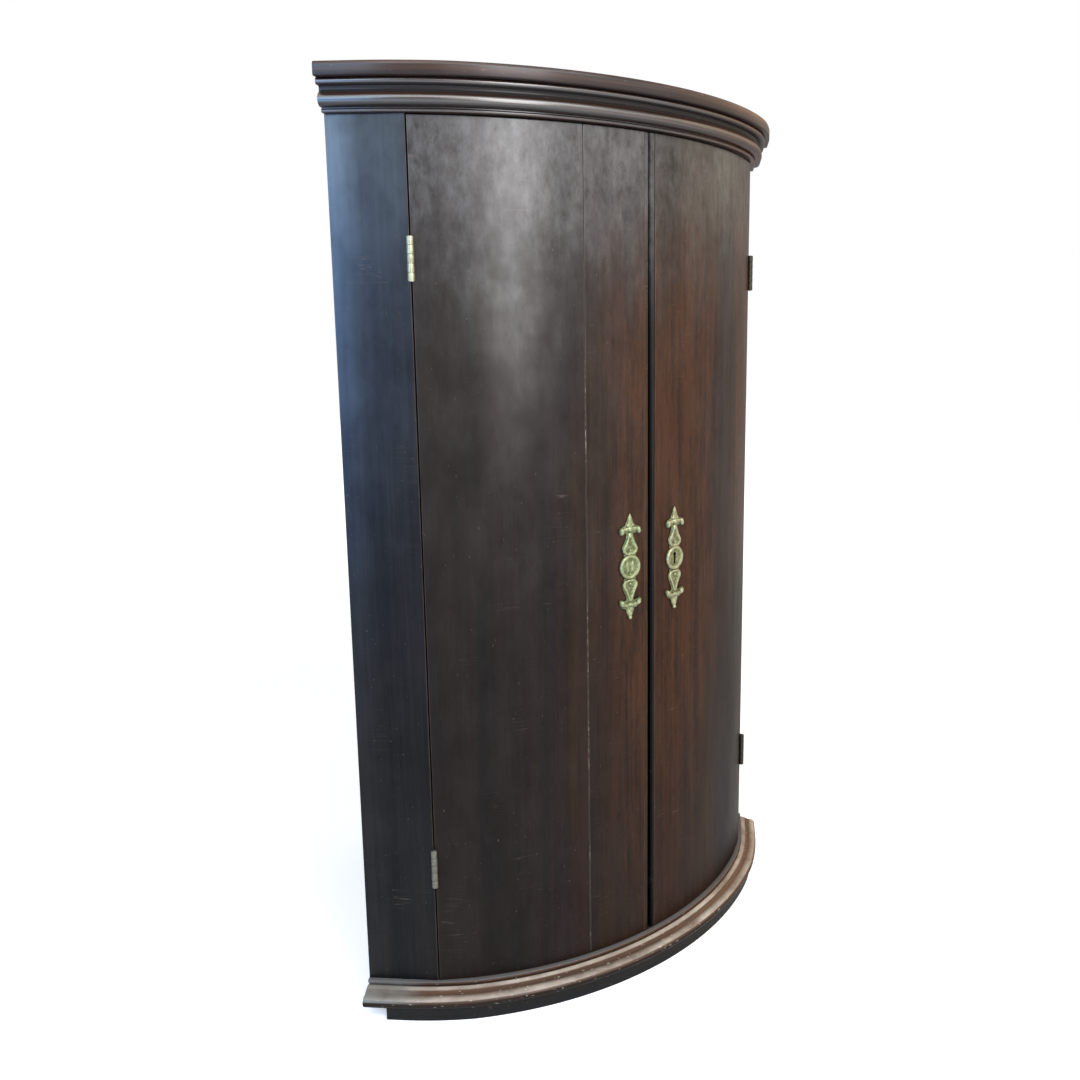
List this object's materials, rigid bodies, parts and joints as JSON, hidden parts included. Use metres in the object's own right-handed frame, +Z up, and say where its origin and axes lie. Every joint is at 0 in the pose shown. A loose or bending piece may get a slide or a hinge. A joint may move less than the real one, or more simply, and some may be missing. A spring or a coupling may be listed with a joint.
{
  "type": "bow-front hanging corner cupboard",
  "caption": "Bow-front corner cupboard for hanging in the corner of a room, with a pair of curved doors, a moulded cornice and shaped shelves inside.",
  "frame": {"origin": "bottom centre of the bounding box, on the underside of the base board", "axes": "+Z up, the bowed doors face -Y, the corner of the walls is at +Y, +X to the right seen from the front"},
  "size_m": [0.6744, 0.4895, 1.0658],
  "materials": {
    "door_mahogany": "dark waxed mahogany, satin, upright grain",
    "stile_mahogany": "dark waxed mahogany, satin, upright grain",
    "cornice_mahogany": "dark waxed mahogany, rubbed on the mouldings' edges",
    "base_mahogany": "worn and faded mahogany",
    "plinth_mahogany": "dark, dull",
    "carcase_pine": "old pine, unpolished",
    "escutcheon_brass": "old cast brass, dull greenish patina",
    "hinge_brass": "old rolled brass, dull",
    "bolt_brass": "old brass, dull",
    "lock_iron": "old iron, dark"
  },
  "bodies": {
    "carcase": {"base_mould": "base_mahogany", "base_rail": "carcase_pine", "bottom_board": "carcase_pine", "cornice_bed_mould": "cornice_mahogany", "cornice_cap": "cornice_mahogany", "glue_block_1": "carcase_pine", "glue_block_2": "carcase_pine", "glue_block_3": "carcase_pine", "glue_block_4": "carcase_pine", "head_rail": "carcase_pine", "left_lower_hinge_fixed_leaf": "hinge_brass", "left_lower_hinge_pin": "hinge_brass", "left_stile": "stile_mahogany", "left_upper_hinge_fixed_leaf": "hinge_brass", "left_upper_hinge_pin": "hinge_brass", "left_wall_board_corner": "carcase_pine", "left_wall_board_front": "carcase_pine", "left_wall_board_middle": "carcase_pine", "plinth_board": "plinth_mahogany", "right_lower_hinge_fixed_leaf": "hinge_brass", "right_lower_hinge_pin": "hinge_brass", "right_stile": "stile_mahogany", "right_upper_hinge_fixed_leaf": "hinge_brass", "right_upper_hinge_pin": "hinge_brass", "right_wall_board_corner": "carcase_pine", "right_wall_board_front": "carcase_pine", "right_wall_board_middle": "carcase_pine", "shelf_1": "carcase_pine", "shelf_1_left_bearer": "carcase_pine", "shelf_1_right_bearer": "carcase_pine", "shelf_2": "carcase_pine", "shelf_2_left_bearer": "carcase_pine", "shelf_2_right_bearer": "carcase_pine", "shelf_3": "carcase_pine", "shelf_3_left_bearer": "carcase_pine", "shelf_3_right_bearer": "carcase_pine", "top_board": "carcase_pine"},
    "left_door": {"left_door_inner_stave": "door_mahogany", "left_door_middle_stave": "door_mahogany", "left_door_outer_stave": "door_mahogany", "left_door_edge_bead": "door_mahogany", "left_escutcheon": "escutcheon_brass", "left_lower_hinge_door_leaf": "hinge_brass", "left_upper_hinge_door_leaf": "hinge_brass", "lock_keeper": "lock_iron", "top_bolt_plate": "bolt_brass", "bottom_bolt_plate": "bolt_brass"},
    "right_door": {"right_door_inner_stave": "door_mahogany", "right_door_middle_stave": "door_mahogany", "right_door_outer_stave": "door_mahogany", "right_door_edge_bead": "door_mahogany", "right_escutcheon": "escutcheon_brass", "right_lower_hinge_door_leaf": "hinge_brass", "right_upper_hinge_door_leaf": "hinge_brass", "lock_case": "lock_iron"},
    "lock_bolt": {"lock_bolt": "lock_iron"},
    "left_door_top_bolt": {"top_bolt": "bolt_brass"},
    "left_door_bottom_bolt": {"bottom_bolt": "bolt_brass"}
  },
  "joints": [
    {"name": "left_door_hinge", "type": "hinge", "parent": "carcase", "child": "left_door", "pos_m": [-0.25886, -0.13418, 0.5298], "axis": [0, 0, -1], "range_deg": [0, 110]},
    {"name": "right_door_hinge", "type": "hinge", "parent": "carcase", "child": "right_door", "pos_m": [0.25886, -0.13418, 0.5298], "axis": [0, 0, 1], "range_deg": [0, 110]},
    {"name": "lock_bolt_slide", "type": "slide", "parent": "right_door", "child": "lock_bolt", "axis": [-0.9965, -0.0834, 0], "range_m": [0, 0.01]},
    {"name": "top_bolt_slide", "type": "slide", "parent": "left_door", "child": "left_door_top_bolt", "axis": [0, 0, 1], "range_m": [0, 0.014]},
    {"name": "bottom_bolt_slide", "type": "slide", "parent": "left_door", "child": "left_door_bottom_bolt", "axis": [0, 0, -1], "range_m": [0, 0.014]}
  ]
}
